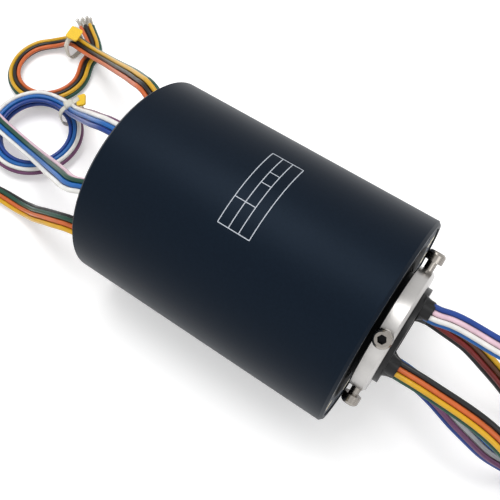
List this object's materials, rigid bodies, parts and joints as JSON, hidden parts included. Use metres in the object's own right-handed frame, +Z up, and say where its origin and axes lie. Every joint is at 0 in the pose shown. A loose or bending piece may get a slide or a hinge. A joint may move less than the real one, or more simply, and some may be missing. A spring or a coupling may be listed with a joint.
{
  "type": "slip ring",
  "caption": "Through-bore slip ring: dark anodised cylindrical housing, a rotor sleeve with a clamp collar and radial screws, and bundled coloured leads at both ends.",
  "frame": {"origin": "on the axis of the shaft bore, in the plane of the housing tube's front end", "axes": "+X along the bore, out of the clamp collar; +Z up as it lies on its side; +Y completes the right-handed frame"},
  "size_m": [0.394, 0.158, 0.086],
  "materials": {
    "anodised_housing": "matte blue-black anodised aluminium",
    "anodised_cap": "dark anodised, turned face",
    "bare_aluminium": "bare machined",
    "steel_posts": "turned",
    "zinc_screws": "bright zinc plated",
    "bearing_steel": "ground and polished",
    "seal_rubber": "matte",
    "black_epoxy": "cast, semi-gloss",
    "brown_laminate": "moulded",
    "brush_graphite": "silver graphite, matte",
    "spring_bronze": "rolled strip",
    "green_board": "solder mask",
    "sleeve_metal": "turned",
    "black_plastic": "turned",
    "gold_rings": "gold plated, polished track",
    "cream_plastic": "moulded",
    "cage_brass": "pressed",
    "spring_steel": "phosphated",
    "satin_collar": "satin nickel plated, turned",
    "screw_steel": "bright",
    "lead_insulation": "smooth extruded insulation in many colours",
    "tie_nylon": "natural nylon, slightly translucent",
    "yellow_tag": "yellow marker"
  },
  "bodies": {
    "stator": {"housing_tube": "anodised_housing", "front_cap": "anodised_cap", "rear_cap": "anodised_cap", "support_ring": "bare_aluminium", "frame_posts": "steel_posts", "post_screws": "zinc_screws", "support_screws": "zinc_screws", "outer_races": "bearing_steel", "front_seal": "seal_rubber", "stator_potting": "black_epoxy", "brush_holders": "brown_laminate", "brushes": "brush_graphite", "leaf_springs": "spring_bronze", "terminal_boards": "green_board", "board_screws": "zinc_screws", "rear_bundle_1": "lead_insulation", "rear_bundle_2": "lead_insulation", "rear_bundle_3": "lead_insulation", "rear_bundle_4": "lead_insulation", "rear_coil_1": "lead_insulation", "rear_coil_2": "lead_insulation", "rear_coil_3": "lead_insulation", "rear_coil_4": "lead_insulation", "rear_lead_tail": "lead_insulation", "cable_tie_1": "tie_nylon", "cable_tie_2": "tie_nylon", "rear_ties": "tie_nylon", "marker_tag_1": "yellow_tag", "marker_tag_2": "yellow_tag"},
    "rotor": {"shaft_sleeve": "sleeve_metal", "ring_barrel": "black_plastic", "contact_rings": "gold_rings", "barrier_rings": "cream_plastic", "inner_races": "bearing_steel", "bearing_balls": "bearing_steel", "ball_cages": "cage_brass", "retaining_ring": "spring_steel", "clamp_collar": "satin_collar", "rotor_potting": "black_epoxy", "front_bundle_1": "lead_insulation", "front_bundle_2": "lead_insulation", "front_bundle_3": "lead_insulation", "front_bundle_4": "lead_insulation", "front_coil_1": "lead_insulation", "front_coil_2": "lead_insulation", "front_ties": "tie_nylon"},
    "clamp_screw_1": {"clamp_screw_1": "screw_steel"},
    "clamp_screw_2": {"clamp_screw_2": "screw_steel"},
    "clamp_screw_3": {"clamp_screw_3": "screw_steel"},
    "clamp_screw_4": {"clamp_screw_4": "screw_steel"}
  },
  "joints": [
    {"name": "rotor_spin", "type": "hinge", "parent": "stator", "child": "rotor", "pos_m": [0, 0, 0], "axis": [1, 0, 0], "continuous": true},
    {"name": "clamp_screw_1_travel", "type": "slide", "parent": "rotor", "child": "clamp_screw_1", "axis": [0, 0.5299, -0.848], "range_m": [-0.002, 0.0028]},
    {"name": "clamp_screw_2_travel", "type": "slide", "parent": "rotor", "child": "clamp_screw_2", "axis": [0, 0.848, 0.5299], "range_m": [-0.002, 0.0028]},
    {"name": "clamp_screw_3_travel", "type": "slide", "parent": "rotor", "child": "clamp_screw_3", "axis": [0, -0.5299, 0.848], "range_m": [-0.002, 0.0028]},
    {"name": "clamp_screw_4_travel", "type": "slide", "parent": "rotor", "child": "clamp_screw_4", "axis": [0, -0.848, -0.5299], "range_m": [-0.002, 0.0028]}
  ]
}
